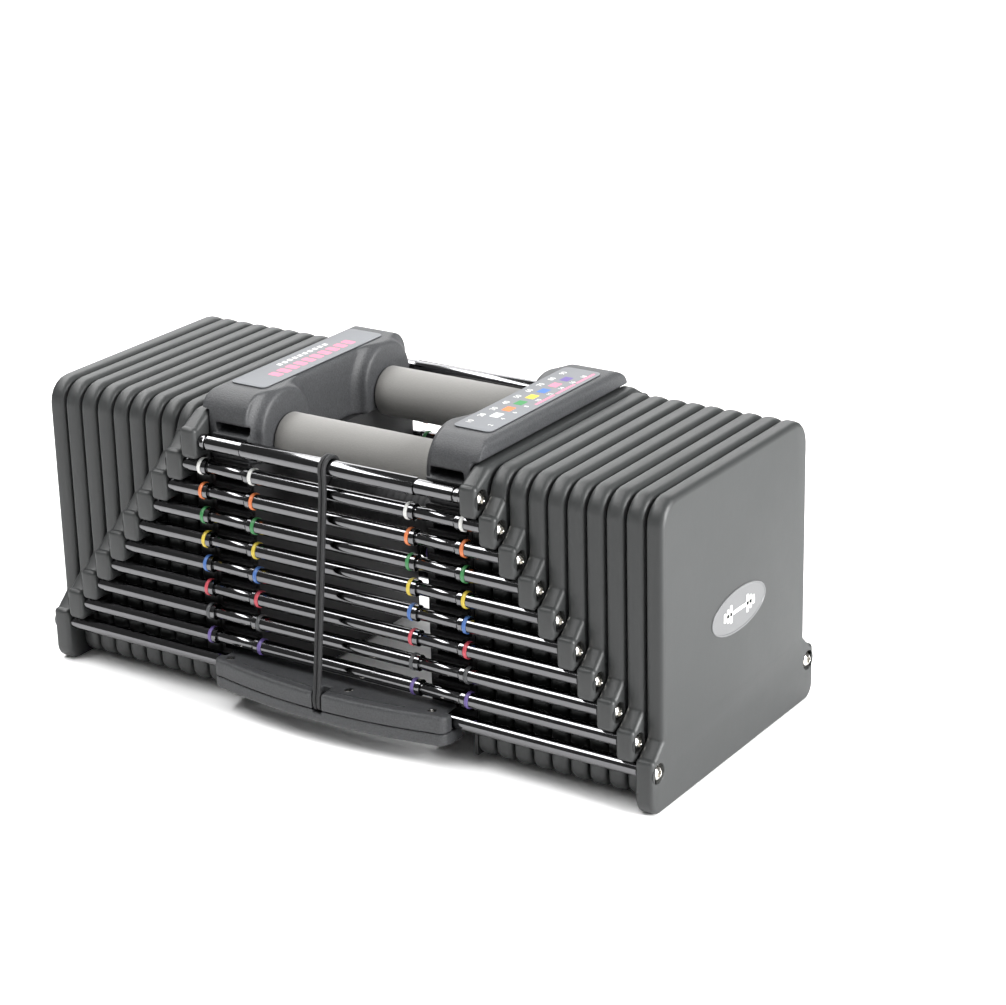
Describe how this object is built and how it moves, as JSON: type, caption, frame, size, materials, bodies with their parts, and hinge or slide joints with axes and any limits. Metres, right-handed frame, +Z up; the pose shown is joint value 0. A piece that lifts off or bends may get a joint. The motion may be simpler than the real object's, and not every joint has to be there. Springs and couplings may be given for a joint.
{
  "type": "adjustable dumbbell",
  "caption": "Selectorised adjustable dumbbell: nested U-shaped weights around a handle core, picked by a two-prong selector pin on a tether cord.",
  "frame": {"origin": "on the floor, at the middle of the whole object's box", "axes": "+X along the dumbbell's length, +Y away from the side the selector pin enters, +Z up"},
  "size_m": [0.4308, 0.2052, 0.1918],
  "materials": {
    "urethane": "satin charcoal urethane over a steel plate",
    "black_chrome": "glossy black chrome",
    "cap_plastic": "fine grain, matte black",
    "frame_plastic": "matte black",
    "label": "satin silver-grey film",
    "steel": "bare steel",
    "tube_pad": "matte light grey soft sleeve",
    "grip_pad": "matte black grip",
    "shell_plastic": "fine grain, matte black",
    "cord": "black elastic braid"
  },
  "bodies": {
    "weight_9": {"plate_9_right": "urethane", "plate_9_left": "urethane", "rail_9_front": "black_chrome", "rail_9_rear": "black_chrome"},
    "weight_8": {"plate_8_right": "urethane", "plate_8_left": "urethane", "rail_8_front": "black_chrome", "rail_8_rear": "black_chrome"},
    "weight_7": {"plate_7_right": "urethane", "plate_7_left": "urethane", "rail_7_front": "black_chrome", "rail_7_rear": "black_chrome"},
    "weight_6": {"plate_6_right": "urethane", "plate_6_left": "urethane", "rail_6_front": "black_chrome", "rail_6_rear": "black_chrome"},
    "weight_5": {"plate_5_right": "urethane", "plate_5_left": "urethane", "rail_5_front": "black_chrome", "rail_5_rear": "black_chrome"},
    "weight_4": {"plate_4_right": "urethane", "plate_4_left": "urethane", "rail_4_front": "black_chrome", "rail_4_rear": "black_chrome"},
    "weight_3": {"plate_3_right": "urethane", "plate_3_left": "urethane", "rail_3_front": "black_chrome", "rail_3_rear": "black_chrome"},
    "weight_2": {"plate_2_right": "urethane", "plate_2_left": "urethane", "rail_2_front": "black_chrome", "rail_2_rear": "black_chrome"},
    "weight_1": {"plate_1_right": "urethane", "plate_1_left": "urethane", "rail_1_front": "black_chrome", "rail_1_rear": "black_chrome"},
    "handle_core": {"plate_0_right": "urethane", "plate_0_left": "urethane", "rail_0_front": "black_chrome", "rail_0_rear": "black_chrome", "cap_right": "cap_plastic", "side_frame_right": "frame_plastic", "label_right": "label", "cap_left": "cap_plastic", "side_frame_left": "frame_plastic", "label_left": "label", "tube_front": "steel", "sleeve_front": "tube_pad", "adder_weight_front": "steel", "tube_rear": "steel", "sleeve_rear": "tube_pad", "adder_weight_rear": "steel", "grip": "grip_pad", "grip_rod": "steel", "tether_cord": "cord"},
    "selector_pin": {"selector_fork": "steel", "selector_shell_top": "shell_plastic", "selector_shell_bottom": "shell_plastic"},
    "cord_stop": {"cord_stop": "grip_pad"}
  },
  "joints": [
    {"name": "lift_weight_8", "type": "slide", "parent": "weight_9", "child": "weight_8", "axis": [0, 0, 1], "range_m": [0, 0.185]},
    {"name": "lift_weight_7", "type": "slide", "parent": "weight_8", "child": "weight_7", "axis": [0, 0, 1], "range_m": [0, 0.185]},
    {"name": "lift_weight_6", "type": "slide", "parent": "weight_7", "child": "weight_6", "axis": [0, 0, 1], "range_m": [0, 0.185]},
    {"name": "lift_weight_5", "type": "slide", "parent": "weight_6", "child": "weight_5", "axis": [0, 0, 1], "range_m": [0, 0.185]},
    {"name": "lift_weight_4", "type": "slide", "parent": "weight_5", "child": "weight_4", "axis": [0, 0, 1], "range_m": [0, 0.185]},
    {"name": "lift_weight_3", "type": "slide", "parent": "weight_4", "child": "weight_3", "axis": [0, 0, 1], "range_m": [0, 0.185]},
    {"name": "lift_weight_2", "type": "slide", "parent": "weight_3", "child": "weight_2", "axis": [0, 0, 1], "range_m": [0, 0.185]},
    {"name": "lift_weight_1", "type": "slide", "parent": "weight_2", "child": "weight_1", "axis": [0, 0, 1], "range_m": [0, 0.185]},
    {"name": "lift_core", "type": "slide", "parent": "weight_1", "child": "handle_core", "axis": [0, 0, 1], "range_m": [0, 0.185]},
    {"name": "pull_pin", "type": "slide", "parent": "weight_9", "child": "selector_pin", "axis": [0, -1, 0], "range_m": [0, 0.19]},
    {"name": "pull_cord_stop", "type": "slide", "parent": "handle_core", "child": "cord_stop", "axis": [0, -1, 0], "range_m": [0, 0.19], "deforming": ["tether_cord"]}
  ],
  "couplings": [
    {"joint": "pull_cord_stop", "follows": "pull_pin", "ratio": 1}
  ]
}
